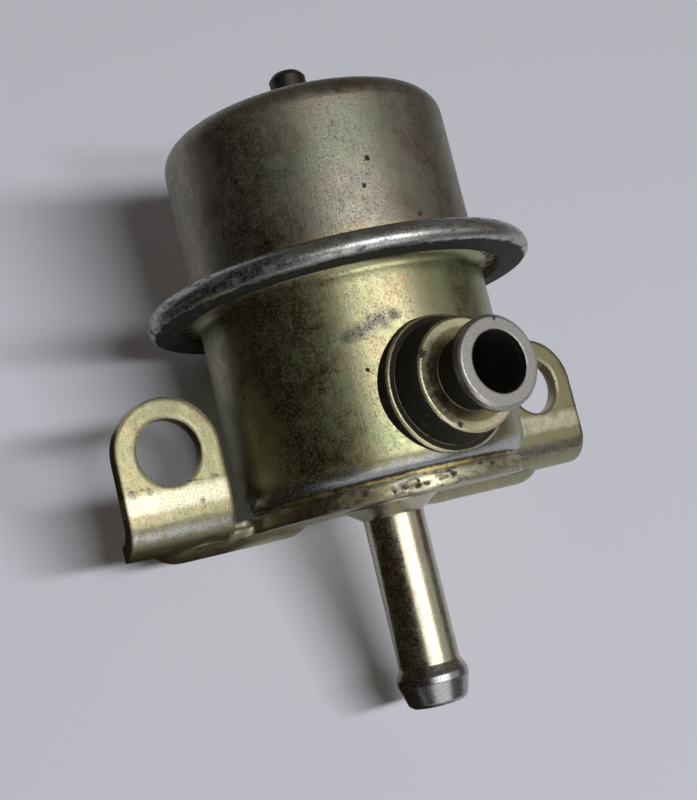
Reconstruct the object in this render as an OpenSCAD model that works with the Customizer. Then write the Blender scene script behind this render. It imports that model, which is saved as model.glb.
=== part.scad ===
// Return-type fuel pressure regulator: two crimped cups with a diaphragm between them.
// Z is the axis of the cups, Z = 0 is the height of the inlet, and Y = 0 is the bolt face of the ears.
// The inlet points along -Y, the return tube down, and the vacuum nipple up.

/* [Cups] */
// Outside diameter of the upper cup, the spring chamber
upper_d = 38; // [36:0.5:40]
// Sheet thickness of the upper cup
upper_wall = 0.9; // [0.7:0.1:1.1]
// Height of the upper cup's top above the inlet axis
upper_top_z = 39.8; // [37:0.2:44]
// Outside rounding of the upper cup's top edge
upper_edge_r = 3.2; // [2:0.2:4]
// Outside diameter of the lower cup, the fuel chamber
lower_d = 38; // [36:0.5:40]
// Sheet thickness of the lower cup
lower_wall = 0.8; // [0.6:0.1:1.2]
// Drop from the inlet axis to the underside of the lower cup
floor_drop = 9.7; // [9:0.1:11]
// Outside rounding of the lower cup's bottom edge
lower_edge_r = 3.2; // [2:0.2:4]

/* [Crimped flange] */
// Outside diameter of the rolled flange
flange_d = 51.2; // [50:0.2:54]
// Height of the middle of the flange above the inlet axis
flange_z = 17.0; // [15.5:0.05:18]
// Length of the edge that is folded in under the lower cup's flange
fold_lap = 3.0; // [1.5:0.1:3.4]
// Outside rounding of the flange's lower corner, where its edge is folded in
fold_r = 1.2; // [1.1:0.05:1.6]
// Radius of the bend between the upper cup and its flange
upper_bend_r = 1.2; // [0.8:0.1:1.6]
// Radius of the bend between the lower cup and its flange
lower_bend_r = 1.5; // [0.8:0.1:1.9]

/* [Inlet connector] */
// Distance from the body's axis to the end of the inlet
inlet_reach = 29.3; // [27:0.1:32]
// Diameter of the inlet's bore
inlet_bore_d = 7.36; // [6:0.02:7.6]
// Diameter of the lip that holds the sealing ring
lip_d = 10.9; // [10.5:0.1:12]
// Length of the lip
lip_len = 1.8; // [1.4:0.1:3]
// Diameter of the sealing ring's groove
groove_d = 8.6; // [8.4:0.1:9]
// Distance from the body's axis to the shoulder of the hub
hub_reach = 23.4; // [22:0.1:25]
// Diameter of the hub at its shoulder
hub_d = 14; // [13:0.1:14.6]
// Diameter of the hub where it leaves the collar
hub_base_d = 15; // [14:0.1:16]
// Diameter of the collar that lies on the lower cup
collar_d = 17.2; // [16:0.1:17.6]
// Height of the collar's face over the front of the cup's wall
collar_h = 0.1; // [0.1:0.05:1.2]
// Diameter of the spigot that passes through the cup's wall
spigot_d = 12; // [10:0.2:13]

/* [Return tube] */
// Outside diameter of the return tube
tube_d = 8; // [7:0.1:9]
// Wall of the return tube
tube_wall = 1.2; // [1:0.1:1.4]
// Depth of the tube's tip under the inlet axis
tip_drop = 37.8; // [34:0.2:42]
// Diameter of the barb's crest
barb_d = 9.3; // [8.8:0.1:10.4]
// Length of the barb, from its step to the tip
barb_len = 5.1; // [4.6:0.1:7]
// Length of the crest's cylindrical land
barb_land = 0.8; // [0.6:0.1:1.4]
// Diameter of the barb's open end
tip_d = 7.8; // [6.8:0.1:8.2]
// Diameter of the flared collar under the bracket
flare_d = 12.8; // [11:0.2:16]
// Height of the flared collar
flare_h = 1.7; // [1:0.1:2.5]

/* [Mounting bracket] */
// Sheet thickness of the bracket
bracket_t = 2.0; // [1.6:0.1:2.4]
// Diameter of the bracket's round middle
disc_d = 35.6; // [33:0.2:37]
// Distance between the two bolt holes
bolt_spacing = 56.6; // [55:0.1:60]
// Diameter of the bolt holes
bolt_hole_d = 8.2; // [6.4:0.1:8.6]
// Width of each ear
ear_w = 13.4; // [12:0.1:14]
// Inside radius of the bend under each ear
ear_bend_r = 2.2; // [1:0.1:2.6]
// Distance from the bolt face to the back edge of the wings
wing_depth = 13; // [12.4:0.1:16]
// Half width of the bracket across the wings' back edges
wing_back_x = 27; // [24:0.2:30]
// Rounding of the wings' back corners
wing_corner_r = 5; // [3:0.2:6]
// Radius where the wings run into the round middle
wing_fillet_r = 2; // [1:0.1:2.4]
// Depth of the stiffening ribs pressed down into the wings
rib_depth = 1.4; // [1:0.1:2]
// Outside radius of the ribs' section
rib_r = 4.5; // [4:0.1:5]
// Distance from the bolt face to the middle of the ribs
rib_y = 7.5; // [7.4:0.1:8]
// Distance from the body's axis to the middle of a rib
rib_x = 19.4; // [18:0.1:20]
// Length of a rib between the centres of its round ends
rib_len = 14.6; // [10:0.2:15.2]

/* [Vacuum nipple] */
// Outside diameter of the nipple
nipple_d = 5; // [4.2:0.1:5.2]
// Diameter of the nipple's shank in the cup's top
nipple_shank_d = 5.6; // [5.2:0.1:6.6]
// Bore of the nipple
nipple_bore_d = 2.6; // [2:0.1:3]
// Height of the nipple over the upper cup's top
nipple_h = 8.0; // [6:0.2:14]
// Length of the nipple's tapered tip
nipple_taper = 0.7; // [0.5:0.1:3]
// Diameter of the nipple's end
nipple_tip_d = 4.2; // [3.2:0.1:4.4]
// Diameter of the nipple's flange inside the cup
nipple_flange_d = 8.4; // [7:0.2:12]

/* [Diaphragm and springs] */
// Thickness of the rubberised diaphragm
diaphragm_t = 0.5; // [0.4:0.05:0.7]
// Depth of the diaphragm's middle under its clamped rim, with the valve shut
diaphragm_sag = 2.4; // [2:0.1:3]
// Middle radius of the diaphragm's rolled ring
roll_mid_r = 14.7; // [14.4:0.1:14.8]
// Outside radius of the rolled ring's section
roll_r = 2.1; // [1.6:0.1:2.2]
// Diameter of the spring plate on the diaphragm
plate_d = 24.4; // [23.6:0.1:24.8]
// Thickness of the spring plate
plate_t = 1.2; // [0.8:0.1:1.5]
// Height of the spring plate's rim
plate_rim_h = 2.6; // [1.5:0.1:4]
// Diameter of the washer under the diaphragm
washer_d = 22; // [18:0.5:23]
// Thickness of the washer under the diaphragm
washer_t = 1.0; // [0.8:0.1:1.4]
// Wire of the main spring
spring_wire = 2.2; // [1.6:0.1:2.4]
// Mean diameter of the main spring
spring_mean_d = 19.2; // [16:0.2:19.2]
// Working turns of the main spring
spring_turns = 4; // [3:0.5:5]

/* [Valve] */
// Diameter of the valve ball
ball_d = 7; // [6.6:0.1:7.4]
// Distance from the ball's centre to its ground flat
flat_depth = 2.4; // [2.2:0.05:2.5]
// Bore of the valve seat
seat_bore_d = 3; // [2:0.1:3.4]
// Diameter of the seat's flat land
seat_land_d = 4.4; // [4:0.1:4.6]
// Length of the seat's spigot in the return tube
seat_spigot_len = 4; // [2:0.2:6]
// Outside diameter of the valve holder
holder_d = 10; // [9.6:0.1:12]
// Diameter of the holder's rivet through the diaphragm
rivet_d = 5; // [4:0.1:6]
// Diameter of the rivet's upset head
rivet_head_d = 7.6; // [7:0.1:9]
// Height of the rivet's upset head
rivet_head_h = 1.0; // [0.6:0.1:1.6]
// Wire of the ball's spring
ball_spring_wire = 0.45; // [0.3:0.05:0.6]
// Mean diameter of the ball's spring
ball_spring_mean_d = 3.2; // [2.8:0.1:3.4]
// Thickness of the ring that keeps the ball in
retainer_t = 0.4; // [0.3:0.05:0.5]

/* [Fits] */
// Radial room between pieces that are pressed or brazed together
fit = 0.02; // [0.01:0.01:0.05]
// Room round the ball in its holder
ball_play = 0.05; // [0.03:0.01:0.1]
// Room between a spring's end and its seat
spring_play = 0.05; // [0.03:0.01:0.1]
// Room between the ball's flat and the closed seat
seat_gap = 0.02; // [0.01:0.01:0.05]

/* [Hidden] */
$fn = 96;

upper_r = upper_d / 2;
lower_r = lower_d / 2;
floor_z = -floor_drop;

// The flange holds the folded upper sheet twice, with the lower sheet and the diaphragm between
flange_h = 2 * upper_wall + lower_wall + diaphragm_t;
roll_edge_r = flange_h - fold_r;
flange_top = flange_z + flange_h / 2;
flange_low = flange_z - flange_h / 2;
lower_flange_z = flange_low + upper_wall;
diaphragm_z = lower_flange_z + lower_wall;
clamped_r = flange_d / 2 - max(roll_edge_r, fold_r) - fit;

// Heights of the pieces stacked on the diaphragm, and of the valve that hangs under it
middle_z = diaphragm_z - diaphragm_sag;
plate_z = middle_z + diaphragm_t;
plate_top = plate_z + plate_t;
washer_z = middle_z - washer_t;
holder_roof = 1.0;
ball_spring_room = 1.7;
ball_r = ball_d / 2;
ball_z = washer_z - holder_roof - ball_spring_room - ball_r;
seat_z = ball_z - flat_depth - seat_gap;

// The retaining ring sits under the ball, just above its flat
retainer_in_r = ball_r - 0.5;
retainer_out_r = ball_r + 0.6;
retainer_top = ball_z - sqrt(ball_r * ball_r - retainer_in_r * retainer_in_r) - ball_play;
retainer_z = retainer_top - retainer_t;
holder_lip = 0.6;
holder_lip_r = ball_r + 0.25;
holder_z = retainer_z - holder_lip;

// The seat's head is a cone that stands on the end of the return tube
seat_cone_slope = 1.2;
seat_head_h = 1.0;
seat_cone_z = seat_z - (tube_d / 2 - seat_land_d / 2) / seat_cone_slope;
tube_top = seat_cone_z - seat_head_h;
tube_bore_r = tube_d / 2 - tube_wall;
socket_r = tube_bore_r + 0.3;
socket_z = tube_top - seat_spigot_len;
bracket_z = floor_z - bracket_t;

spring_z = plate_top + spring_play;
spring_top = upper_top_z - upper_wall - spring_play;
closed_turns = 0.75;

// A quarter of a ring, which is a bent sheet in section
module bend(x, z, r_in, r_out, turn) {
    translate([x, z]) rotate(turn) intersection() {
        difference() {
            circle(r_out);
            circle(r_in);
        }
        square(2 * r_out);
    }
}

// A rectangle between two corners
module block(x0, z0, x1, z1) {
    translate([x0, z0]) square([x1 - x0, z1 - z0]);
}

// Turns a revolved piece so that its axis points along -Y
module along_inlet() {
    rotate([90, 0, 0]) children();
}

// A round wire wound from z0 up to z1, with the end turns closed
function coil_height(u, turns, wire, z0, z1) =
    let (rise = (z1 - z0 - wire - 2 * closed_turns * wire) / turns,
         low = min(u, closed_turns),
         mid = min(max(u - closed_turns, 0), turns),
         high = max(u - closed_turns - turns, 0))
    z0 + wire / 2 + wire * low + rise * mid + wire * high;

module coil(mean_d, wire, turns, z0, z1, sides, steps) {
    total = turns + 2 * closed_turns;
    rings = ceil(total * steps);
    points = [for (i = [0:rings], k = [0:sides - 1])
        let (u = total * i / rings,
             a = 360 * u,
             t = 360 * k / sides,
             r = mean_d / 2 + wire / 2 * cos(t))
        [r * cos(a), r * sin(a), coil_height(u, turns, wire, z0, z1) + wire / 2 * sin(t)]];
    skin = [for (i = [0:rings - 1], k = [0:sides - 1])
        let (n = (k + 1) % sides)
        [i * sides + k, (i + 1) * sides + k, (i + 1) * sides + n, i * sides + n]];
    start_cap = [[for (k = [0:sides - 1]) k]];
    end_cap = [[for (k = [sides - 1:-1:0]) rings * sides + k]];
    polyhedron(points, concat(skin, start_cap, end_cap), convexity = 10);
}

// Deep-drawn upper cup, with its flange rolled round the lower cup's flange
module upper_housing() {
    bend_out = upper_r + upper_bend_r;
    roll_x = flange_d / 2 - roll_edge_r;
    fold_x = flange_d / 2 - fold_r;
    fold_z = flange_low + fold_r;
    color([0.52, 0.50, 0.40]) rotate_extrude() {
        block(nipple_shank_d / 2 + fit, upper_top_z - upper_wall, upper_r - upper_edge_r, upper_top_z);
        bend(upper_r - upper_edge_r, upper_top_z - upper_edge_r, upper_edge_r - upper_wall, upper_edge_r, 0);
        block(upper_r - upper_wall, flange_top + upper_bend_r, upper_r, upper_top_z - upper_edge_r);
        bend(bend_out, flange_top + upper_bend_r, upper_bend_r, upper_bend_r + upper_wall, 180);
        block(bend_out, flange_top - upper_wall, roll_x, flange_top);
        bend(roll_x, fold_z, roll_edge_r - upper_wall, roll_edge_r, 0);
        bend(fold_x, fold_z, fold_r - upper_wall, fold_r, 270);
        block(fold_x - fold_lap, flange_low, fold_x, lower_flange_z);
    }
}

// Deep-drawn lower cup, pierced for the inlet and the return tube
module lower_housing() {
    bend_out = lower_r + lower_bend_r;
    edge_x = lower_r - lower_edge_r;
    color([0.66, 0.60, 0.36]) difference() {
        rotate_extrude() {
            block(tube_d / 2 + fit, floor_z, edge_x, floor_z + lower_wall);
            bend(edge_x, floor_z + lower_edge_r, lower_edge_r - lower_wall, lower_edge_r, 270);
            block(lower_r - lower_wall, floor_z + lower_edge_r, lower_r, lower_flange_z - lower_bend_r);
            bend(bend_out, lower_flange_z - lower_bend_r, lower_bend_r, lower_bend_r + lower_wall, 90);
            block(bend_out, lower_flange_z, clamped_r, diaphragm_z);
        }
        along_inlet() cylinder(r = spigot_d / 2 + fit, h = upper_d);
    }
}

// Tube for the vacuum hose, with a flange inside the cup that centres the spring
module vacuum_nipple() {
    flange_t = 1.0;
    end_round = 0.2;
    under = upper_top_z - upper_wall;
    end_z = upper_top_z + nipple_h;
    color([0.25, 0.25, 0.24]) rotate_extrude() difference() {
        polygon([
            [0, under - flange_t],
            [nipple_flange_d / 2, under - flange_t],
            [nipple_flange_d / 2, under],
            [nipple_shank_d / 2, under],
            [nipple_shank_d / 2, upper_top_z],
            [nipple_d / 2, upper_top_z],
            [nipple_d / 2, end_z - nipple_taper],
            [nipple_tip_d / 2, end_z - end_round],
            [nipple_tip_d / 2 - end_round, end_z],
            [0, end_z],
        ]);
        block(0, under - 2 * flange_t, nipple_bore_d / 2, end_z + flange_t);
    }
}

// Turned inlet connector: collar on the cup, hub, bare seal groove and end lip
module inlet_connector() {
    edge = 0.35;
    collar_top = lower_r + collar_h;
    collar_bevel = 0.35;
    inner_end = lower_r - lower_wall - 0.6;
    lip_start = inlet_reach - lip_len;
    color([0.58, 0.54, 0.40]) along_inlet() difference() {
        union() {
            difference() {
                rotate_extrude() polygon([
                    [0, 0],
                    [collar_d / 2, 0],
                    [collar_d / 2, collar_top - collar_bevel],
                    [collar_d / 2 - collar_bevel, collar_top],
                    [hub_base_d / 2, collar_top],
                    [hub_d / 2, hub_reach - edge],
                    [hub_d / 2 - edge, hub_reach],
                    [groove_d / 2, hub_reach],
                    [groove_d / 2, lip_start],
                    [lip_d / 2 - edge, lip_start],
                    [lip_d / 2, lip_start + edge],
                    [lip_d / 2, inlet_reach - edge],
                    [lip_d / 2 - edge, inlet_reach],
                    [0, inlet_reach],
                ]);
                rotate([-90, 0, 0]) cylinder(r = lower_r + fit, h = 2 * upper_d, center = true);
            }
            translate([0, 0, inner_end]) cylinder(d = spigot_d, h = collar_top - inner_end);
        }
        cylinder(d = inlet_bore_d, h = 2 * inlet_reach);
    }
}

// Return tube with a flared collar under the bracket and a hose barb at its tip
module return_tube() {
    tip_z = -tip_drop;
    rise = 1.4;
    end_bevel = 0.4;
    barb_z = tip_z + barb_len;
    land_z = barb_z - rise;
    color([0.64, 0.59, 0.38]) rotate_extrude() difference() {
        polygon([
            [0, tip_z],
            [tip_d / 2 - end_bevel, tip_z],
            [tip_d / 2, tip_z + end_bevel],
            [barb_d / 2, land_z - barb_land],
            [barb_d / 2, land_z],
            [tube_d / 2, barb_z],
            [tube_d / 2, bracket_z - flare_h],
            [flare_d / 2, bracket_z],
            [tube_d / 2, bracket_z],
            [tube_d / 2, tube_top],
            [0, tube_top],
        ]);
        block(0, tip_z - rise, tube_bore_r, tube_top + rise);
        block(0, socket_z, socket_r, tube_top + rise);
    }
}

// The bracket's flat outline: a round middle with a wing under each ear
module bracket_outline() {
    wing_front = bracket_t + ear_bend_r;
    wing_end = bolt_spacing / 2 + ear_w / 2;
    slant = atan2(wing_depth - wing_front, wing_end - wing_back_x);
    corner_len = wing_corner_r * tan(slant / 2);
    corner_x = wing_back_x - corner_len;
    circle(d = disc_d);
    for (side = [0, 1]) mirror([side, 0]) {
        polygon([
            [0, wing_front],
            [wing_end, wing_front],
            [wing_back_x + corner_len * cos(slant), wing_depth - corner_len * sin(slant)],
            [corner_x, wing_depth - wing_corner_r],
            [corner_x, wing_depth],
            [0, wing_depth],
        ]);
        translate([corner_x, wing_depth - wing_corner_r]) circle(wing_corner_r);
        wing_fillet(wing_front, -1);
        wing_fillet(wing_depth, 1);
    }
}

// Fills the corner between the round middle and a wing's edge at depth y.
// The rounding bites a little into both edges, so that it crosses them instead of only touching.
module wing_fillet(y, toward) {
    bite = wing_fillet_r / 40;
    depth = wing_fillet_r / 2;
    reach = disc_d / 2 + wing_fillet_r - bite;
    fillet_y = y + toward * (wing_fillet_r - bite);
    fillet_x = sqrt(reach * reach - fillet_y * fillet_y);
    inside = (disc_d / 2 - depth) / reach;
    difference() {
        polygon([
            [fillet_x, fillet_y],
            [fillet_x * inside, fillet_y * inside],
            [fillet_x * inside, y - toward * depth],
            [fillet_x, y - toward * depth],
        ]);
        translate([fillet_x, fillet_y]) circle(wing_fillet_r);
    }
}

// A bar with round ends along X, centred on its middle
module capsule(r, len) {
    rotate([0, 90, 0]) rotate_extrude() intersection() {
        union() {
            block(0, -len / 2, r, len / 2);
            for (end = [-1, 1]) translate([0, end * len / 2]) circle(r);
        }
        block(0, -len, r, len);
    }
}

// One ear and the bend that joins it to its wing, on the +X side
module ear() {
    bend_mid = bracket_t + ear_bend_r;
    translate([bolt_spacing / 2, bracket_t, 0]) rotate([90, 0, 0]) linear_extrude(bracket_t) difference() {
        union() {
            circle(d = ear_w);
            block(-ear_w / 2, bracket_z + bend_mid, ear_w / 2, 0);
        }
        circle(d = bolt_hole_d);
    }
    translate([bolt_spacing / 2 - ear_w / 2, 0, 0]) rotate([90, 0, 90]) linear_extrude(ear_w)
        bend(bend_mid, bracket_z + bend_mid, ear_bend_r, bend_mid, 180);
}

// Stamped bracket: plate under the cup, ribbed wings and two ears bent up
module mounting_bracket() {
    rib_z = bracket_z + rib_r - rib_depth;
    color([0.68, 0.63, 0.38]) difference() {
        union() {
            translate([0, 0, bracket_z]) linear_extrude(bracket_t) bracket_outline();
            for (side = [0, 1]) mirror([side, 0, 0]) {
                ear();
                intersection() {
                    translate([rib_x, rib_y, rib_z]) capsule(rib_r, rib_len);
                    translate([0, 0, bracket_z - rib_r])
                        cube([bolt_spacing, bolt_spacing, rib_r + bracket_t / 2]);
                }
            }
        }
        for (side = [-1, 1])
            translate([side * rib_x, rib_y, rib_z]) capsule(rib_r - bracket_t, rib_len);
        translate([0, 0, bracket_z - bracket_t]) cylinder(r = tube_d / 2 + fit, h = 3 * bracket_t);
    }
}

// Turned valve seat on top of the return tube
module valve_seat() {
    color([0.70, 0.66, 0.50]) rotate_extrude() polygon([
        [seat_bore_d / 2, socket_z + fit],
        [socket_r - fit, socket_z + fit],
        [socket_r - fit, tube_top],
        [tube_d / 2, tube_top],
        [tube_d / 2, seat_cone_z],
        [seat_land_d / 2, seat_z],
        [seat_bore_d / 2, seat_z],
    ]);
}

// Steel ball with a ground flat that closes the seat
module valve_ball() {
    color([0.78, 0.78, 0.80]) difference() {
        translate([0, 0, ball_z]) sphere(d = ball_d);
        translate([0, 0, ball_z - flat_depth - ball_r]) cylinder(r = ball_d, h = ball_r);
    }
}

// Snap ring that keeps the ball in its holder
module ball_retainer() {
    color([0.60, 0.60, 0.62]) translate([0, 0, retainer_z]) difference() {
        cylinder(r = retainer_out_r, h = retainer_t);
        translate([0, 0, -retainer_t]) cylinder(r = retainer_in_r, h = 3 * retainer_t);
    }
}

// Small spring that steadies the ball in its holder
module ball_spring() {
    ball_turns = 2;
    mean_r = ball_spring_mean_d / 2 + ball_spring_wire / 2;
    rest_z = ball_z + sqrt(ball_r * ball_r - pow(mean_r - ball_spring_wire, 2)) + spring_play;
    roof_z = washer_z - holder_roof - spring_play;
    color([0.65, 0.65, 0.66])
        coil(ball_spring_mean_d, ball_spring_wire, ball_turns, rest_z, roof_z, 6, 12);
}

// Turned holder for the ball, riveted through the diaphragm and its plates
module valve_holder() {
    pocket_r = ball_r + ball_play;
    spring_pocket_r = ball_spring_mean_d / 2 + ball_spring_wire / 2 + 4 * ball_play;
    pocket_top = ball_z + ball_r - 0.4;
    roof_z = washer_z - holder_roof;
    color([0.62, 0.60, 0.52]) rotate_extrude() polygon([
        [holder_lip_r, holder_z],
        [holder_d / 2, holder_z],
        [holder_d / 2, washer_z],
        [rivet_d / 2, washer_z],
        [rivet_d / 2, plate_top],
        [rivet_head_d / 2, plate_top],
        [rivet_head_d / 2, plate_top + rivet_head_h],
        [0, plate_top + rivet_head_h],
        [0, roof_z],
        [spring_pocket_r, roof_z],
        [spring_pocket_r, pocket_top],
        [pocket_r, pocket_top],
        [pocket_r, retainer_top + fit],
        [retainer_out_r + fit, retainer_top + fit],
        [retainer_out_r + fit, retainer_z - fit],
        [holder_lip_r, retainer_z - fit],
    ]);
}

// Flat washer between the holder and the diaphragm
module diaphragm_washer() {
    color([0.62, 0.62, 0.60]) translate([0, 0, washer_z]) difference() {
        cylinder(d = washer_d, h = washer_t);
        translate([0, 0, -washer_t]) cylinder(r = rivet_d / 2 + fit, h = 3 * washer_t);
    }
}

// Rubberised fabric diaphragm with one rolled ring, clamped in the flange
module diaphragm() {
    roll_mid_z = diaphragm_z + diaphragm_t / 2;
    roll_in_r = roll_r - diaphragm_t;
    color([0.12, 0.12, 0.12]) rotate_extrude() {
        block(rivet_d / 2 + fit, middle_z, roll_mid_r - roll_in_r, middle_z + diaphragm_t);
        block(roll_mid_r - roll_r, middle_z, roll_mid_r - roll_in_r, roll_mid_z);
        bend(roll_mid_r, roll_mid_z, roll_in_r, roll_r, 0);
        bend(roll_mid_r, roll_mid_z, roll_in_r, roll_r, 90);
        block(roll_mid_r + roll_in_r, diaphragm_z, clamped_r, diaphragm_z + diaphragm_t);
    }
}

// Pressed plate with an upturned rim that centres the main spring
module spring_plate() {
    plate_r = plate_d / 2;
    color([0.66, 0.64, 0.50]) translate([0, 0, plate_z]) rotate_extrude() {
        block(rivet_d / 2 + fit, 0, plate_r, plate_t);
        block(plate_r - plate_t, 0, plate_r, plate_rim_h);
    }
}

// Compression spring that holds the valve shut
module main_spring() {
    color([0.55, 0.55, 0.56])
        coil(spring_mean_d, spring_wire, spring_turns, spring_z, spring_top, 10, 24);
}

upper_housing();
lower_housing();
vacuum_nipple();
inlet_connector();
return_tube();
mounting_bracket();
valve_seat();
valve_ball();
ball_retainer();
ball_spring();
valve_holder();
diaphragm_washer();
diaphragm();
spring_plate();
main_spring();
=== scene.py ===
# Fuel pressure regulator, dressed for a studio picture.
# Two yellow-plated steel cups are crimped round a diaphragm valve, over an eared bracket.
import math

import bpy
import numpy as np
from mathutils import Matrix, Vector


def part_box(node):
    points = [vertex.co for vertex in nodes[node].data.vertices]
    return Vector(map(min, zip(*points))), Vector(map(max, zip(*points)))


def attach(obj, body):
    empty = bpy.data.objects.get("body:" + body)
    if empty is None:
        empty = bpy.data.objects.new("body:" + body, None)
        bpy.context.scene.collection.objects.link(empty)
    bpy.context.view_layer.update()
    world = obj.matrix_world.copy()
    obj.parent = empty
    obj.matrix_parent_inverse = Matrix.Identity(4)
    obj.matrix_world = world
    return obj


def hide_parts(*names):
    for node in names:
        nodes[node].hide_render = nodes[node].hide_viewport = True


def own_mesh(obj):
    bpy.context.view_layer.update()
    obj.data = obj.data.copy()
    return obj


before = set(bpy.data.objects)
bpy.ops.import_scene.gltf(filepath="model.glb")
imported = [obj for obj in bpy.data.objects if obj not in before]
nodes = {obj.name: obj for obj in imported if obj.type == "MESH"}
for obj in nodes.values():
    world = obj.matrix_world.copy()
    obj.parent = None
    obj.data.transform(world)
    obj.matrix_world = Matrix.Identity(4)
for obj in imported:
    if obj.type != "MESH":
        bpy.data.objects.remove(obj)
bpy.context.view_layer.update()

# Lower cup
# Deep-drawn steel sheet that holds the fuel, plated with zinc and passivated yellow.
# Handling has rubbed its bottom rounding to grey steel, and a tool has scuffed it over the inlet.
# The underside of its flange is painted dark, as painted shade.
MM = 0.001


def linear(colour):
    """A hex sRGB colour as linear RGBA: c / 12.92 up to 0.04045, above it ((c + 0.055) / 1.055) ** 2.4."""
    channels = np.array([int(colour[i : i + 2], 16) / 255 for i in (1, 3, 5)])
    curve = np.where(channels > 0.04045, ((channels + 0.055) / 1.055) ** 2.4, channels / 12.92)
    return (*curve.tolist(), 1.0)


def add(tree, kind, inputs=None, stops=None, **settings):
    """Adds a node and gives its outputs: settings are its properties, stops a ramp's colours, and
    each input is a value for its socket or the output that feeds it. A mix takes its share at socket 0;
    two colours go in at 6 and 7 and come out at 2, two numbers go in at 2 and 3 and come out at 0."""
    node = tree.nodes.new(kind)
    for name, value in settings.items():
        setattr(node, name, value)
    for name, value in (inputs or {}).items():
        if isinstance(value, bpy.types.NodeSocket):
            tree.links.new(value, node.inputs[name])
        else:
            node.inputs[name].default_value = value
    for index, (position, colour) in enumerate(stops or []):
        elements = node.color_ramp.elements
        stop = elements[index] if index < 2 else elements.new(position)
        stop.position = position
        stop.color = linear(colour)
    return node.outputs


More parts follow.
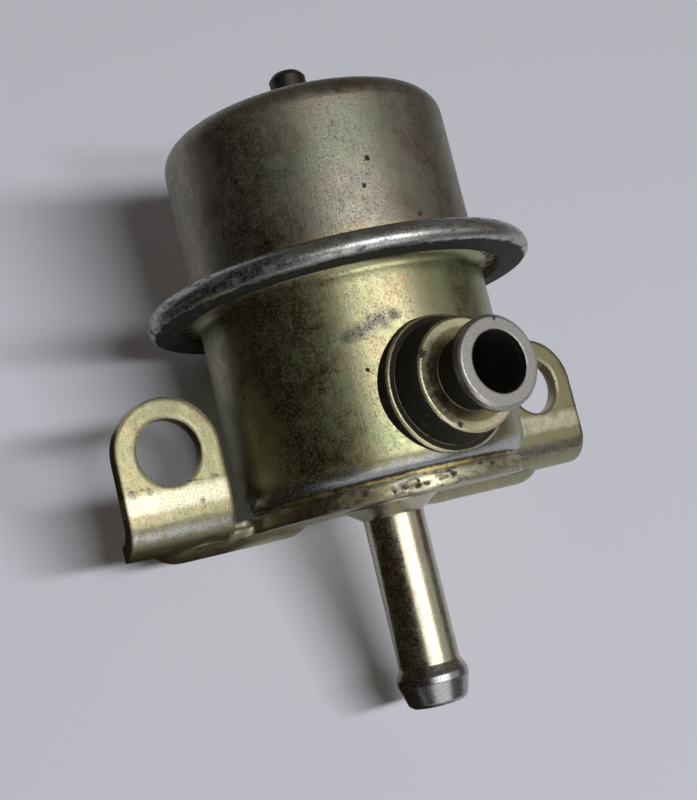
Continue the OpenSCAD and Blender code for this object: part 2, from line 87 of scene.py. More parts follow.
def worn_plating(
    name,
    colours,
    bare=(),
    clean_and_highlight=(),
    soiled_and_shaded=(),
    scuffs_and_shade=(),
    pits=(),
    shine=0.34,
    bare_shine=0.26,
    edge_mm=0.3,
    fleck=0.5,
    grit_mm=0.006,
    shade_reach_mm=1.6,
    tear=0.75,
    run=(1.0, 1.0, 0.3),
):
    """Yellow zinc plating on steel: a satin metal, mottled from gold to green and pink where its film
    varies in thickness. Edges and the bare zones are rubbed to steel. The clean zones are bright, as clean
    plating and as painted highlights; the stained zones are darkened, as dark grime and as painted shade,
    and corners are darkened as painted shade. A zone is an axis (R is the distance from the Z axis,
    S from the Y axis), its two limits, the softness of its border and a strength; a scuff, a spot of painted
    shade or a pit is a centre and a radius; lengths are in mm. The two shines are the roughness of plating
    and steel, edge_mm the width of a rolled edge, fleck the strength of fine specks, grit_mm the depth of the
    grain and shade_reach_mm how far the painted shade in corners reaches. Tear is how much of the film a
    scuff or a spot of painted shade takes off, and run is the scale of the stains along X, Y and Z, less than
    1 where they are drawn out."""
    material = bpy.data.materials.new(name)
    material.use_nodes = True
    tree = material.node_tree
    tree.nodes.clear()
    place = add(tree, "ShaderNodeTexCoord")["Object"]
    along = add(tree, "ShaderNodeSeparateXYZ", {"Vector": place})
    across = add(tree, "ShaderNodeVectorMath", {0: place, 1: (1, 1, 0)}, operation="MULTIPLY")["Vector"]
    radius = add(tree, "ShaderNodeVectorMath", {0: across}, operation="LENGTH")["Value"]
    beside = add(tree, "ShaderNodeVectorMath", {0: place, 1: (1, 0, 1)}, operation="MULTIPLY")["Vector"]
    spread = add(tree, "ShaderNodeVectorMath", {0: beside}, operation="LENGTH")["Value"]
    axes = {"X": along["X"], "Y": along["Y"], "Z": along["Z"], "R": radius, "S": spread}

    def within(zones, share=0.0):
        """The strength of the strongest zone that holds a point, or 0 outside them all."""
        for axis, low, high, soft, strength in zones:
            rise_ends = {"From Min": (low - soft) * MM, "From Max": (low + soft) * MM, "To Max": strength}
            fall_ends = {"From Min": (high + soft) * MM, "From Max": (high - soft) * MM}
            smooth = {"interpolation_type": "SMOOTHSTEP"}
            rise = add(tree, "ShaderNodeMapRange", {"Value": axes[axis], **rise_ends}, **smooth)["Result"]
            fall = add(tree, "ShaderNodeMapRange", {"Value": axes[axis], **fall_ends}, **smooth)["Result"]
            inside = add(tree, "ShaderNodeMath", {0: rise, 1: fall}, operation="MULTIPLY")["Value"]
            share = add(tree, "ShaderNodeMath", {0: share, 1: inside}, operation="MAXIMUM")["Value"]
        return share

    def near(spots, share=0.0):
        """Rises from 0 at the rim of the nearest spot to 1 in its middle."""
        for centre, reach in spots:
            middle = tuple(c * MM for c in centre)
            away = add(tree, "ShaderNodeVectorMath", {0: place, 1: middle}, operation="DISTANCE")["Value"]
            limits = {"Value": away, "From Min": reach * MM, "From Max": 0.0}
            inside = add(tree, "ShaderNodeMapRange", limits)["Result"]
            share = add(tree, "ShaderNodeMath", {0: share, 1: inside}, operation="MAXIMUM")["Value"]
        return share

    # Mottling of the film in clouds of a few millimetres, and its slow drift to green
    cloud_mm = 5.0
    cloud_settings = {"Vector": place, "Scale": 1 / (cloud_mm * MM), "Detail": 6.0, "Roughness": 0.65}
    cloud = add(tree, "ShaderNodeTexNoise", cloud_settings)["Fac"]
    film_stops = [(0.34, colours["flush"]), (0.47, colours["plating"])]
    film_stops += [(0.55, colours["plating"]), (0.68, colours["bloom"])]
    film = add(tree, "ShaderNodeValToRGB", {"Fac": cloud}, stops=film_stops)["Color"]
    drift_mm = 16.0
    drift_settings = {"Vector": place, "Scale": 1 / (drift_mm * MM), "Detail": 2.0}
    drift = add(tree, "ShaderNodeTexNoise", drift_settings)["Fac"]
    drift_limits = {"Value": drift, "From Min": 0.52, "From Max": 0.68, "To Max": 0.7}
    green = add(tree, "ShaderNodeMapRange", drift_limits, interpolation_type="SMOOTHSTEP")["Result"]
    film = add(tree, "ShaderNodeMix", {0: green, 6: film, 7: linear(colours["bloom"])}, data_type="RGBA")[2]
    patch_mm = 1.3
    patch_settings = {"Vector": place, "Scale": 1 / (patch_mm * MM), "Detail": 7.0, "Roughness": 0.68}
    patch = add(tree, "ShaderNodeTexNoise", patch_settings)["Fac"]
    # Clean zones are brighter: clean plating in some, painted highlights in others
    bright_sum = add(tree, "ShaderNodeMath", {0: within(clean_and_highlight), 1: patch}, operation="ADD")["Value"]
    bright_limits = {"Value": bright_sum, "From Min": 0.7, "From Max": 1.4}
    bright = add(tree, "ShaderNodeMapRange", bright_limits, interpolation_type="SMOOTHSTEP")["Result"]
    film = add(tree, "ShaderNodeMix", {0: bright, 6: film, 7: linear(colours["clean_and_highlight"])}, data_type="RGBA")[2]

    # Edges lose their plating first: there the rounded normal leaves the true one
    edge_rub = 0.5
    rounded = add(tree, "ShaderNodeBevel", {"Radius": edge_mm * MM}, samples=6)["Normal"]
    true_normal = add(tree, "ShaderNodeNewGeometry")["Normal"]
    level = add(tree, "ShaderNodeVectorMath", {0: rounded, 1: true_normal}, operation="DOT_PRODUCT")["Value"]
    edge_limits = {"Value": level, "From Min": 0.995, "From Max": 0.9, "To Max": edge_rub}
    edge = add(tree, "ShaderNodeMapRange", edge_limits)["Result"]
    worn = within(bare, edge)

    # The worn border is ragged, broken up by patches of about a millimetre
    ragged = add(tree, "ShaderNodeMath", {0: worn, 1: patch}, operation="ADD")["Value"]
    bare_limits = {"Value": ragged, "From Min": 0.84, "From Max": 1.12}
    steel = add(tree, "ShaderNodeMapRange", bare_limits, interpolation_type="SMOOTHSTEP")["Result"]

    # Hairlines from handling cross each other; they are drawn wider than real ones to show
    hair_mm = 0.3
    for turn in ((0.3, 0.25, 0.0), (1.1, 0.6, 0.3)):
        hair_turn = {"Vector": place, "Rotation": turn, "Scale": (1.0, 1.0, 0.06)}
        hair_place = add(tree, "ShaderNodeMapping", hair_turn)["Vector"]
        hair_settings = {"Vector": hair_place, "Scale": 1 / (hair_mm * MM), "Detail": 2.0}
        hair = add(tree, "ShaderNodeTexNoise", hair_settings)["Fac"]
        hair_limits = {"Value": hair, "From Min": 0.65, "From Max": 0.78, "To Max": 0.45}
        hairline = add(tree, "ShaderNodeMapRange", hair_limits)["Result"]
        steel = add(tree, "ShaderNodeMath", {0: steel, 1: hairline}, operation="MAXIMUM")["Value"]

    # Scuffs are torn patches, dull and grey, with dark specks of torn plating between; a spot of painted
    # shade is drawn the same way
    grain_mm = 0.25
    grain_settings = {"Vector": place, "Scale": 1 / (grain_mm * MM), "Detail": 3.0, "Roughness": 0.7}
    grain = add(tree, "ShaderNodeTexNoise", grain_settings)["Fac"]
    torn_and_shaded_sum = add(tree, "ShaderNodeMath", {0: near(scuffs_and_shade), 1: patch}, operation="ADD")["Value"]
    torn_and_shaded_limits = {"Value": torn_and_shaded_sum, "From Min": 0.65, "From Max": 1.3, "To Max": tear}
    torn_and_shaded = add(tree, "ShaderNodeMapRange", torn_and_shaded_limits)["Result"]
    film = add(tree, "ShaderNodeMix", {0: torn_and_shaded, 6: film, 7: linear(colours["scuff_and_shade_tone"])}, data_type="RGBA")[2]
    speck_limits = {"Value": grain, "From Min": 0.54, "From Max": 0.62}
    speck = add(tree, "ShaderNodeMapRange", speck_limits)["Result"]
    torn_specks = add(tree, "ShaderNodeMath", {0: torn_and_shaded, 1: speck}, operation="MULTIPLY")["Value"]
    metal = add(tree, "ShaderNodeMix", {0: steel, 6: film, 7: linear(colours["bare"])}, data_type="RGBA")[2]

    # Fine flecks all over, drawn a little coarser than the real grain so that they show
    fleck_limits = {"Value": grain, "From Min": 0.5, "From Max": 0.76, "To Max": fleck}
    flecks = add(tree, "ShaderNodeMapRange", fleck_limits)["Result"]
    marks_and_shade = add(tree, "ShaderNodeMath", {0: flecks, 1: torn_specks}, operation="MAXIMUM")["Value"]

    # Pits are small and nearly black, with a ragged rim
    rough_rim = {0: grain, 1: 1.8, 2: near(pits)}
    pit_sum = add(tree, "ShaderNodeMath", rough_rim, operation="MULTIPLY_ADD")["Value"]
    pit_limits = {"Value": pit_sum, "From Min": 1.3, "From Max": 1.5, "To Max": 0.92}
    pit = add(tree, "ShaderNodeMapRange", pit_limits)["Result"]
    marks_and_shade = add(tree, "ShaderNodeMath", {0: marks_and_shade, 1: pit}, operation="MAXIMUM")["Value"]

    # Stains run in streaks of about a millimetre; some stained zones are painted shade, darkened the same way
    streak_mm = 1.1
    streak_turn = {"Vector": place, "Scale": run}
    streak_place = add(tree, "ShaderNodeMapping", streak_turn)["Vector"]
    streak_settings = {"Vector": streak_place, "Scale": 1 / (streak_mm * MM), "Detail": 5.0}
    streak = add(tree, "ShaderNodeTexNoise", streak_settings)["Fac"]
    smear = add(tree, "ShaderNodeMath", {0: streak, 1: patch}, operation="MULTIPLY")["Value"]
    soil_and_shade_mix = {0: smear, 1: 2.0, 2: within(soiled_and_shaded)}
    soil_and_shade_sum = add(tree, "ShaderNodeMath", soil_and_shade_mix, operation="MULTIPLY_ADD")["Value"]
    soil_and_shade_limits = {"Value": soil_and_shade_sum, "From Min": 0.85, "From Max": 1.3, "To Max": 0.95}
    soil_and_shade = add(tree, "ShaderNodeMapRange", soil_and_shade_limits, interpolation_type="SMOOTHSTEP")["Result"]
    marks_and_shade = add(tree, "ShaderNodeMath", {0: marks_and_shade, 1: soil_and_shade}, operation="MAXIMUM")["Value"]

    # Painted shade: corners and crevices, where little of the surroundings is seen, are darkened towards the
    # dark dirt colour
    open_share = add(tree, "ShaderNodeAmbientOcclusion", {"Distance": shade_reach_mm * MM}, samples=8)["AO"]
    corner_shade_limits = {"Value": open_share, "From Min": 0.68, "From Max": 0.3, "To Max": 0.92}
    corner = add(tree, "ShaderNodeMapRange", corner_shade_limits, interpolation_type="SMOOTHSTEP")["Result"]
    marks_and_shade = add(tree, "ShaderNodeMath", {0: marks_and_shade, 1: corner}, operation="MAXIMUM")["Value"]
    colour = add(tree, "ShaderNodeMix", {0: marks_and_shade, 6: metal, 7: linear(colours["dark_dirt_and_shade"])}, data_type="RGBA")[2]

    # The plating is satin, more or less so from patch to patch and cloud to cloud; dirt and painted shade are
    # dull
    by_patch = 0.1
    by_cloud = 0.07
    uneven = {"To Min": shine - by_patch, "To Max": shine + by_patch}
    haze = {"To Min": -by_cloud, "To Max": by_cloud}
    noise_span = {"From Min": 0.3, "From Max": 0.7}
    satin = add(tree, "ShaderNodeMapRange", {"Value": patch, **noise_span, **uneven})["Result"]
    hazy = add(tree, "ShaderNodeMapRange", {"Value": cloud, **noise_span, **haze})["Result"]
    satin = add(tree, "ShaderNodeMath", {0: satin, 1: hazy}, operation="ADD")["Value"]
    satin = add(tree, "ShaderNodeMix", {0: steel, 2: satin, 3: bare_shine}, data_type="FLOAT")[0]
    gloss = add(tree, "ShaderNodeMath", {0: marks_and_shade, 1: 0.5, 2: satin}, operation="MULTIPLY_ADD")["Value"]
    solid = add(tree, "ShaderNodeMapRange", {"Value": marks_and_shade, "To Min": 1.0, "To Max": 0.3})["Result"]
    scratched = add(tree, "ShaderNodeMath", {0: hair, 1: 0.8, 2: grain}, operation="MULTIPLY_ADD")["Value"]
    relief = {"Height": scratched, "Distance": grit_mm * MM, "Normal": rounded}
    normal = add(tree, "ShaderNodeBump", relief)["Normal"]
    shader = {"Base Color": colour, "Metallic": solid, "Roughness": gloss, "Normal": normal}
    surface = add(tree, "ShaderNodeBsdfPrincipled", shader)["BSDF"]
    add(tree, "ShaderNodeOutputMaterial", {"Surface": surface})
    return material


lower_colours = {
    "plating": "#a5a17d",
    "flush": "#a09070",
    "bloom": "#97a47c",
    "clean_and_highlight": "#b9b48f",
    "bare": "#b4b6b5",
    "scuff_and_shade_tone": "#65625a",
    "dark_dirt_and_shade": "#1d150d",
}
lower_finish = worn_plating(
    "lower_yellow_zinc",
    lower_colours,
    bare=[("Z", -20.0, -7.0, 1.6, 0.6)],
    # The flange's underside is painted dark: painted shade under the flange
    soiled_and_shaded=[("R", 19.7, 30.0, 0.4, 0.6)],
    scuffs_and_shade=[
        ((-10.3, -16.0, 7.6), 1.3),
        ((-9.0, -16.7, 7.9), 1.7),
        ((-7.6, -17.4, 8.3), 2.0),
        ((-6.3, -17.9, 8.8), 2.0),
        ((-5.0, -18.3, 9.1), 1.6),
    ],
    pits=[((-9.0, -16.7, 3.3), 0.5), ((-17.9, -6.4, 1.0), 0.7), ((-18.3, -5.0, 9.0), 0.8)],
    shine=0.33,
    grit_mm=0.009,
    shade_reach_mm=0.6,
    tear=0.95,
)
nodes["lower_housing"].data.materials[0] = lower_finish

# Return tube
# Drawn steel tube, flared under the bracket and brazed, with one hose barb upset at its tip.
# Its plating is bright, and the hose has rubbed the barb to bare steel.
tube_colours = {
    "plating": "#bfbba4",
    "flush": "#b8aa94",
    "bloom": "#b6baa0",
    "clean_and_highlight": "#d6d2b8",
    "bare": "#a6a8a8",
    "scuff_and_shade_tone": "#8a8983",
    "dark_dirt_and_shade": "#2a2014",
}
tube_finish = worn_plating(
    "tube_yellow_zinc", tube_colours, bare=[("Z", -60.0, -33.4, 0.5, 0.8)], shine=0.24, fleck=0.3
)
nodes["return_tube"].data.materials[0] = tube_finish

# Mounting bracket
# One steel sheet, stamped, ribbed and folded up into two ears, plated like the cups.
# A bright band is painted under the ears' holes, a painted highlight; the bends are rubbed to steel, the left
# ear's top arch is painted darker, as painted shade, and the plate's front edge is nicked, streaked with
# dirt and painted bright along its front, as a painted highlight.
bracket_colours = {
    "plating": "#a5a07c",
    "flush": "#988d6e",
    "bloom": "#9ea07e",
    "clean_and_highlight": "#eae6cc",
    "bare": "#c4c3ba",
    "scuff_and_shade_tone": "#7d786a",
    "dark_dirt_and_shade": "#2b2010",
}
bracket_finish = worn_plating(
    "bracket_yellow_zinc",
    bracket_colours,
    bare=[("Z", -10.4, -8.4, 1.4, 0.66)],
    # The band under the ears' holes and the plate's front edge are painted bright: painted highlights
    clean_and_highlight=[("Z", -7.0, -4.2, 0.8, 0.68), ("Y", -19.0, -15.0, 0.6, 0.52)],
    soiled_and_shaded=[("Z", -4.1, -3.7, 0.12, 0.42), ("Y", -19.0, -11.0, 1.0, 0.5)],
    scuffs_and_shade=[
        ((-23.6, 0, -3.7), 0.8),
        ((-33.85, 0, -4.2), 0.9),
        ((-31.75, 0, -4.25), 0.7),
        ((-25.5, 0, -6.5), 0.7),
        # This large spot paints the left ear's top arch darker: painted shade
        ((-29.5, 0, 9.5), 7.5),
    ],
    pits=[
        ((-7.56, -16.11, -10.77), 0.7),
        ((-8.7, -15.54, -11.06), 0.5),
        ((-6.0, -16.75, -10.4), 0.5),
        ((-1.6, -17.73, -10.6), 0.9),
        ((4.6, -17.2, -10.3), 0.8),
        ((-11.5, -13.6, -10.5), 0.9),
    ],
    edge_mm=0.9,
    fleck=0.6,
    grit_mm=0.011,
    run=(0.5, 0.5, 1.6),
)
nodes["mounting_bracket"].data.materials[0] = bracket_finish

# Braze
# A bead of brass that was melted into the wedge between the cup's rounding and the bracket's plate.
# It froze with a wavy front, and dirt sticks to it.


def wound_piece(name, points, ring):
    """A closed skin over a grid of points: each row is a closed section, and the rows follow the path.
    A ring joins its last row to its first; an open path gets a cap on either end."""
    rows, columns = points.shape[:2]
    index = np.arange(rows * columns).reshape(rows, columns)
    here = index if ring else index[:-1]
    ahead = np.roll(index, -1, axis=0) if ring else index[1:]
    quads = np.stack([here, np.roll(here, -1, axis=1), np.roll(ahead, -1, axis=1), ahead], axis=-1)
    faces = quads.reshape(-1, 4).tolist()
    if not ring:
        faces += [index[0, ::-1].tolist(), index[-1].tolist()]
    mesh = bpy.data.meshes.new(name)
    mesh.from_pydata((points.reshape(-1, 3) * MM).tolist(), [], faces)
    mesh.polygons.foreach_set("use_smooth", np.ones(len(faces), dtype=bool))
    sharp_angle = math.radians(50)
    mesh.set_sharp_from_angle(angle=sharp_angle)
    piece = bpy.data.objects.new(name, mesh)
    bpy.context.scene.collection.objects.link(piece)
    return piece


def braze_points(cup_r, round_r, floor_z, inner_r, front_r, creep, hollow, wave, steps):
    """The section follows the cup's rounding outwards, where it creeps past its foot, hollows down to the
    plate and runs back along it; it is turned round the Z axis, and three sines of the angle move its
    front in and out."""
    turn = np.linspace(0, 2 * np.pi, steps, endpoint=False)[:, None]
    ripple = 0.5 * np.sin(7 * turn + 1) + 0.3 * np.sin(17 * turn + 2) + 0.2 * np.sin(41 * turn)
    front = front_r + wave * ripple
    s = np.linspace(0, 1, 8)[None, :]
    under = inner_r + (front + creep - inner_r) * s
    roof = floor_z + round_r - np.sqrt(round_r**2 - (under - cup_r + round_r) ** 2)
    down = s[:, 1:]
    face = front + creep * (1 - down) - hollow * np.sin(np.pi * down)
    face_z = roof[:, -1:] + (floor_z - roof[:, -1:]) * down
    back = front + (inner_r - front) * down
    radius = np.concatenate([under, face, back], axis=1)
    height = np.concatenate([roof, face_z, np.full_like(back, floor_z)], axis=1)
    return np.stack([radius * np.cos(turn), radius * np.sin(turn), height], axis=-1)


braze_colours = {
    "plating": "#b3a169",
    "flush": "#a4875a",
    "bloom": "#aaa06c",
    "clean_and_highlight": "#c9bd90",
    "bare": "#c6bd96",
    "scuff_and_shade_tone": "#8a7f60",
    "dark_dirt_and_shade": "#1e150b",
}
braze_finish = worn_plating(
    "braze_brass",
    braze_colours,
    soiled_and_shaded=[("R", 10.0, 19.0, 0.5, 0.42)],
    shine=0.36,
    fleck=0.7,
    shade_reach_mm=0.4,
)
bead_points = braze_points(
    cup_r=19.0,
    round_r=3.2,
    floor_z=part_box("lower_housing")[0].z / MM,
    inner_r=16.6,
    front_r=17.5,
    creep=0.1,
    hollow=0.12,
    wave=0.16,
    steps=240,
)
braze_piece = wound_piece("braze_bead", bead_points, ring=True)
braze_piece.data.materials.append(braze_finish)
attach(braze_piece, "housing")

# Inlet connector
# Turned steel stub with a collar, a hub, a bare groove for a sealing ring and an end lip.
# The lip is worn to bare steel; the collar's edge and the hub's face are painted bright, as painted
# highlights;
# the groove and the hub's side are painted dark, as painted shade, and the collar's face and side are
# darkened too.
inlet_colours = {
    "plating": "#9a9069",
    "flush": "#8b785b",
    "bloom": "#8d8f6c",
    "clean_and_highlight": "#d6cfab",
    "bare": "#b8b6b3",
    "scuff_and_shade_tone": "#74726b",
    "dark_dirt_and_shade": "#120d07",
}
inlet_finish = worn_plating(
    "inlet_yellow_zinc",
    inlet_colours,
    bare=[("Y", -60.0, -28.0, 0.2, 0.95)],
    # The collar's edge and the hub's face are painted bright: painted highlights
    clean_and_highlight=[("S", 8.2, 8.5, 0.06, 0.85), ("S", 5.6, 7.1, 0.3, 0.85)],
    # The groove and the hub's side are painted dark: painted shade; the collar's face and side are darkened
    soiled_and_shaded=[
        ("Y", -28.2, -23.44, 0.03, 0.95),
        ("Y", -23.2, -19.2, 0.1, 0.9),
        ("S", 7.5, 8.15, 0.1, 0.95),
        ("S", 8.54, 9.5, 0.03, 0.88),
    ],
    pits=[
        ((-5.76, -23.4, 3.2), 1.2),
        ((-5.36, -23.4, 1.74), 0.8),
        ((-5.6, -23.4, 0.0), 0.6),
        ((-3.07, -23.4, -5.49), 0.8),
        ((-4.44, -23.4, -3.06), 0.6),
        ((0.73, -29.3, 4.87), 0.5),
    ],
    bare_shine=0.32,
    fleck=0.6,
    grit_mm=0.002,
    run=(1.2, 1.2, 1.2),
)
nodes["inlet_connector"].data.materials[0] = inlet_finish

# Valve
# Seat, holder, washer, spring plate and retaining ring are turned or pressed steel, left bright.
# The ball is ground bearing steel, with a flat that closes the seat.
valve_colours = {
    "plating": "#a09d92",
    "flush": "#98958c",
    "bloom": "#a3a198",
    "clean_and_highlight": "#b0b0b0",
    "bare": "#b0b0b0",
    "scuff_and_shade_tone": "#8d8c88",
    "dark_dirt_and_shade": "#2b2823",
}
valve_finish = worn_plating("valve_bright_steel", valve_colours, shine=0.3, fleck=0.2)
for name in ("valve_seat", "valve_holder", "diaphragm_washer", "spring_plate", "ball_retainer"):
    nodes[name].data.materials[0] = valve_finish
ball_colours = dict.fromkeys(("plating", "flush", "bloom", "clean_and_highlight", "bare", "scuff_and_shade_tone"), "#c3c3c6")
ball_colours["dark_dirt_and_shade"] = "#8d8d90"
ball_finish = worn_plating("ball_ground_steel", ball_colours, shine=0.14, fleck=0.1, grit_mm=0.001)
nodes["valve_ball"].data.materials[0] = ball_finish

# Diaphragm
# Woven fabric coated with fuel-proof rubber, clamped in the rolled flange, with one rolled ring.
# Its middle hangs under the rim; the real one rises towards it as the valve lifts, but this skin stays fixed
# with the housing.


def diaphragm_points(hole_r, wall_r, ring_r, rim_r, middle_z, ring_z, sheet, steps):
    """The sheet's middle line runs flat from the rivet hole, rises at wall_r, goes over a half circle of
    radius ring_r and out to the clamped rim; half the sheet's thickness to either side of it is the
    section, which is turned round the Z axis."""
    arc = np.linspace(np.pi, 0, 25)
    flat = np.stack([np.linspace(hole_r, wall_r, 12), np.full(12, middle_z)], axis=-1)
    wall = np.stack([np.full(5, wall_r), np.linspace(middle_z, ring_z, 7)[1:-1]], axis=-1)
    over = np.stack([wall_r + ring_r + ring_r * np.cos(arc), ring_z + ring_r * np.sin(arc)], axis=-1)
    rim = np.stack([np.linspace(wall_r + 2 * ring_r, rim_r, 8)[1:], np.full(7, ring_z)], axis=-1)
    line = np.concatenate([flat, wall, over, rim])
    along = np.gradient(line, axis=0)
    aside = np.stack([-along[:, 1], along[:, 0]], axis=-1)
    aside *= sheet / 2 / np.linalg.norm(aside, axis=-1, keepdims=True)
    section = np.concatenate([line + aside, (line - aside)[::-1]])
    turn = np.linspace(0, 2 * np.pi, steps, endpoint=False)[:, None]
    radius = section[None, :, 0]
    height = np.broadcast_to(section[None, :, 1], (steps, len(section)))
    return np.stack([radius * np.cos(turn), radius * np.sin(turn), height], axis=-1)


# Fuel-proof rubber on woven fabric: matt black, with the threads' ribs showing through, drawn coarse
rubber = bpy.data.materials.new("diaphragm_rubber")
rubber.use_nodes = True
tree = rubber.node_tree
tree.nodes.clear()
place = add(tree, "ShaderNodeTexCoord")["Object"]
thread_mm = 0.6
rib_mm = 0.03
weave = {"Vector": place, "Scale": 1 / (thread_mm * MM)}
threads_x = add(tree, "ShaderNodeTexWave", weave, bands_direction="X")["Fac"]
threads_y = add(tree, "ShaderNodeTexWave", weave, bands_direction="Y")["Fac"]
cloth = add(tree, "ShaderNodeMath", {0: threads_x, 1: threads_y}, operation="ADD")["Value"]
cloth_stops = [(0.0, "#151514"), (1.0, "#2a2926")]
black = add(tree, "ShaderNodeValToRGB", {"Fac": cloth}, stops=cloth_stops)["Color"]
normal = add(tree, "ShaderNodeBump", {"Height": cloth, "Distance": rib_mm * MM})["Normal"]
shader = {"Base Color": black, "Roughness": 0.6, "Normal": normal}
surface = add(tree, "ShaderNodeBsdfPrincipled", shader)["BSDF"]
add(tree, "ShaderNodeOutputMaterial", {"Surface": surface})
nodes["diaphragm"].data.materials[0] = rubber

sheet_t = 0.5
sag = 2.4
rim_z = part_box("lower_housing")[1].z / MM
rim_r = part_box("diaphragm")[1].x / MM
cloth_points = diaphragm_points(
    hole_r=2.6,
    wall_r=12.85,
    ring_r=1.85,
    rim_r=rim_r,
    middle_z=rim_z - sag + sheet_t / 2,
    ring_z=rim_z + sheet_t / 2,
    sheet=sheet_t,
    steps=96,
)
cloth_piece = wound_piece("diaphragm_cloth", cloth_points, ring=True)
cloth_piece.data.materials.append(rubber)
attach(cloth_piece, "housing")
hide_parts("diaphragm")
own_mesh(cloth_piece)

# Springs
# Oil-tempered wire, coiled with closed ends: the main spring shuts the valve, between plate and cup.
# The small one steadies the ball in its holder.


def coil_points(mean_r, wire, turns, low, high, steps, sides):
    """A wire's middle winds round the Z axis: over each closed end it rises by one wire thickness a turn,
    and between them evenly. A circle of half the wire's thickness is carried along it, upright."""
    closed = 0.75
    u = np.linspace(0, turns + 2 * closed, steps)[:, None]
    t = np.linspace(0, -2 * np.pi, sides, endpoint=False)[None, :]
    pitch = (high - low - wire - 2 * closed * wire) / turns
    ends = np.minimum(u, closed) + np.maximum(u - closed - turns, 0)
    middle = low + wire / 2 + wire * ends + pitch * np.clip(u - closed, 0, turns)
    radius = mean_r + wire / 2 * np.cos(t)
    height = middle + wire / 2 * np.sin(t)
    return np.stack([radius * np.cos(2 * np.pi * u), radius * np.sin(2 * np.pi * u), height], axis=-1)


spring_colours = {
    "plating": "#5d5c5a",
    "flush": "#56524c",
    "bloom": "#636461",
    "clean_and_highlight": "#858585",
    "bare": "#858585",
    "scuff_and_shade_tone": "#6f6e6c",
    "dark_dirt_and_shade": "#1c1a17",
}
spring_finish = worn_plating("spring_oiled_wire", spring_colours, shine=0.32, fleck=0.2)
for name in ("main_spring", "ball_spring"):
    nodes[name].data.materials[0] = spring_finish
spring_low, spring_high = (corner.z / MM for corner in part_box("main_spring"))
spring_points = coil_points(
    mean_r=9.6, wire=2.2, turns=4, low=spring_low, high=spring_high, steps=265, sides=16
)
spring_piece = wound_piece("main_spring_wire", spring_points, ring=False)
spring_piece.data.materials.append(spring_finish)
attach(spring_piece, "housing")
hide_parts("main_spring")
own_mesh(spring_piece)

# Upper cup
# Deep-drawn steel sheet that holds the spring, its edge rolled round the lower cup's flange.
# Its plating has dulled to a grey olive, and the rolled bead is rubbed to bare steel and darkened with grime;
# its lower side is painted dark, as painted shade.
upper_colours = {
    "plating": "#979283",
    "flush": "#8f7f70",
    "bloom": "#8d917d",
    "clean_and_highlight": "#a89f7c",
    "bare": "#b2b3b1",
    "scuff_and_shade_tone": "#8b8b87",
    "dark_dirt_and_shade": "#1f1812",
}
upper_finish = worn_plating(
    "upper_yellow_zinc",
    upper_colours,
    bare=[("R", 21.6, 40.0, 0.5, 0.9)],
    clean_and_highlight=[("Z", 18.6, 20.6, 0.7, 0.6)],
    # The rolled bead's lower side is painted dark: painted shade under the bead
    soiled_and_shaded=[("R", 21.6, 40.0, 0.5, 0.42), ("Z", 10.0, 15.6, 0.25, 1.0)],
    scuffs_and_shade=[
        ((-7.9, -17.3, 22.9), 2.2),
        ((-10.6, -15.8, 22.6), 1.8),
        ((-6.5, -17.9, 33.0), 2.5),
        ((-5.0, -18.3, 26.0), 1.8),
    ],
    pits=[
        ((-3.3, -18.7, 28.3), 0.7),
        ((-4.5, -18.4, 25.0), 0.6),
        ((2.2, -18.9, 20.9), 0.6),
        ((-15.5, -10.9, 24.0), 0.8),
    ],
    shine=0.4,
    bare_shine=0.27,
    fleck=0.6,
    grit_mm=0.014,
    tear=0.45,
    run=(0.6, 0.6, 2.0),
)
nodes["upper_housing"].data.materials[0] = upper_finish

# Vacuum nipple
# Short drawn steel tube for a hose, riveted into the upper cup's top.
# Heat and oil have stained it almost black, and it hardly shines.
nipple_colours = {
    "plating": "#4f4b46",
    "flush": "#463f38",
    "bloom": "#55544c",
    "clean_and_highlight": "#6d6c69",
    "bare": "#6d6c69",
    "scuff_and_shade_tone": "#5c5a56",
    "dark_dirt_and_shade": "#15120e",
}
nipple_finish = worn_plating("nipple_stained_steel", nipple_colours, shine=0.45)
nodes["vacuum_nipple"].data.materials[0] = nipple_finish

# Floor
# A plain pale sheet, on which the regulator lies on its rolled flange and the bracket's plate.
# Seen from behind it is clear and it casts no shadow, so it neither hides the part nor darkens its back.
plate_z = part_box("lower_housing")[0].z
plate_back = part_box("mounting_bracket")[1].y
flange_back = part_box("upper_housing")[1].y
flange_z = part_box("lower_housing")[1].z
lean = math.atan2(flange_back - plate_back, flange_z - plate_z)
floor_normal = Vector((0, -math.cos(lean), math.sin(lean)))
floor_up = Vector((0, math.sin(lean), math.cos(lean)))
floor_right = Vector((1, 0, 0))
floor_middle = Vector((0, flange_back, flange_z))
floor_half = 1.5


def card(name, middle, half_a, half_b, colour):
    """A flat sheet round middle, spanned by two half sides, in one plain matt colour, clear from behind."""
    mesh = bpy.data.meshes.new(name)
    corners = [middle + a * half_a + b * half_b for a, b in ((-1, -1), (1, -1), (1, 1), (-1, 1))]
    mesh.from_pydata([tuple(c) for c in corners], [], [(0, 1, 2, 3)])
    material = bpy.data.materials.new(name)
    material.use_nodes = True
    tree = material.node_tree
    tree.nodes.clear()
    matt = add(tree, "ShaderNodeBsdfDiffuse", {"Color": linear(colour)})["BSDF"]
    clear = add(tree, "ShaderNodeBsdfTransparent")["BSDF"]
    behind = add(tree, "ShaderNodeNewGeometry")["Backfacing"]
    sided = add(tree, "ShaderNodeMixShader", {0: behind, 1: matt, 2: clear})["Shader"]
    add(tree, "ShaderNodeOutputMaterial", {"Surface": sided})
    mesh.materials.append(material)
    sheet = bpy.data.objects.new(name, mesh)
    bpy.context.scene.collection.objects.link(sheet)
    return sheet


floor = card("floor_paper", floor_middle, floor_half * floor_right, floor_half * floor_up, "#dfe1ec")
floor.visible_shadow = False

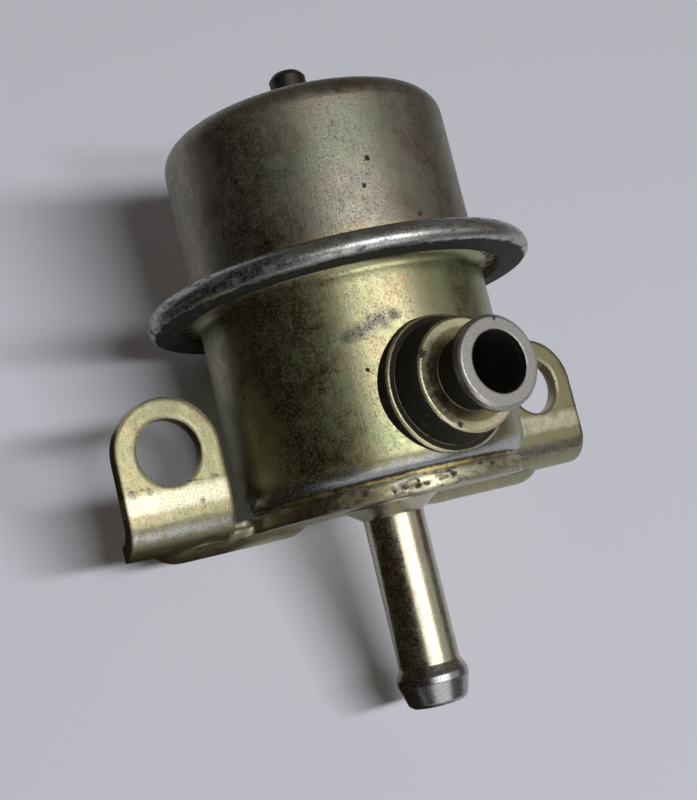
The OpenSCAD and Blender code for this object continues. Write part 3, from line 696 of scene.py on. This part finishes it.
# Studio light
# A strip lamp for floor and part that the metal doesn't mirror, and a soft lamp behind the floor's sheet.
# Four soft glows light the metal's reflections alone, and two brown cards on the left, which show only
# there too, give the round metal its dark side; the lying one stands in for the floor's shadow, a painted
# shadow seen only in reflections.


def lamp(name, azimuth, elevation, distance, width, height, power):
    """A soft lamp that faces the part from an azimuth off -Y and an elevation, in degrees."""
    a = math.radians(azimuth)
    e = math.radians(elevation)
    back = Vector((math.sin(a) * math.cos(e), -math.cos(a) * math.cos(e), math.sin(e)))
    light = bpy.data.lights.new(name, "AREA")
    light.shape = "RECTANGLE"
    light.size = width
    light.size_y = height
    light.energy = power
    obj = bpy.data.objects.new(name, light)
    obj.location = back * distance
    obj.rotation_euler = (-back).to_track_quat("-Z", "Y").to_euler()
    bpy.context.scene.collection.objects.link(obj)
    return obj


strip_lamp = lamp("strip_lamp", azimuth=9, elevation=-4, distance=0.9, width=0.7, height=0.09, power=5.6)
strip_lamp.visible_glossy = False
lamp("back_lamp", azimuth=150, elevation=25, distance=0.9, width=0.5, height=0.5, power=2.5)
glows = [
    ("glow_left", -21, 0, 0.2, 0.38, 0.54),
    ("glow_middle", 3, 0, 0.36, 0.38, 1.5),
    ("glow_right", 40, 0, 0.4, 0.38, 0.2),
    ("glow_low", -10, -50, 0.6, 0.4, 0.85),
]
glow_distance = 0.6
for name, azimuth, elevation, width, height, power in glows:
    glow = lamp(name, azimuth, elevation, glow_distance, width, height, power)
    glow.visible_diffuse = False

card_brown = "#2d2118"
standing_left = 0.08
standing_half_length = 0.18
standing_half_height = 0.047
standing_middle = floor_middle - standing_left * floor_right + standing_half_height * floor_normal
standing_along = standing_half_length * floor_up
standing_across = standing_half_height * floor_normal
# The lying card is a painted shadow: a dark sheet on the floor where the part's shadow falls, seen only in
# reflections
lying_left = 0.081
lying_down = 0.027
lying_over = 0.0005
lying_half_width = 0.06
lying_half_height = 0.064
lying_slant = 0.6
lying_middle = floor_middle - lying_left * floor_right - lying_down * floor_up + lying_over * floor_normal
lying_along = lying_half_width * floor_right
lying_across = lying_half_height * (floor_up - lying_slant * floor_right)
cards = [
    card("standing_card", standing_middle, standing_along, standing_across, card_brown),
    card("floor_shadow_card", lying_middle, lying_along, lying_across, card_brown),
]
for dark_card in cards:
    dark_card.visible_camera = False
    dark_card.visible_diffuse = False
    dark_card.visible_shadow = False

world = bpy.data.worlds.new("studio")
world.use_nodes = True
sky = world.node_tree.nodes["Background"]
sky.inputs["Color"].default_value = linear("#fff0e2")
sky.inputs["Strength"].default_value = 0.09
bpy.context.scene.world = world

# Camera
# It stands where the photograph was taken from: left of the inlet, a little below it and tilted.
image_height = 800
azimuth = math.radians(-31.87)
elevation = math.radians(-6.691)
roll = math.radians(-13.752)
distance = 156.161 * MM
target = Vector((0, 0, 3.127 * MM))
focal_px = 1187.08
centre_px = Vector((14.762, -7.592))
back = Vector((
    math.sin(azimuth) * math.cos(elevation),
    -math.cos(azimuth) * math.cos(elevation),
    math.sin(elevation),
))
level_right = (-back).cross(Vector((0, 0, 1))).normalized()
level_up = level_right.cross(-back)
right = math.cos(roll) * level_right + math.sin(roll) * level_up
up = math.cos(roll) * level_up - math.sin(roll) * level_right
camera = bpy.data.cameras.new("camera")
camera.sensor_width = 36.0
camera.lens = focal_px * camera.sensor_width / image_height
camera.shift_x = -centre_px.x / image_height
camera.shift_y = centre_px.y / image_height
camera.clip_start = 0.01
viewer = bpy.data.objects.new("camera", camera)
turn = Matrix((right, up, back)).transposed().to_4x4()
viewer.matrix_world = Matrix.Translation(target + back * distance) @ turn
bpy.context.scene.collection.objects.link(viewer)
bpy.context.scene.camera = viewer
bpy.context.scene.view_settings.view_transform = "Standard"
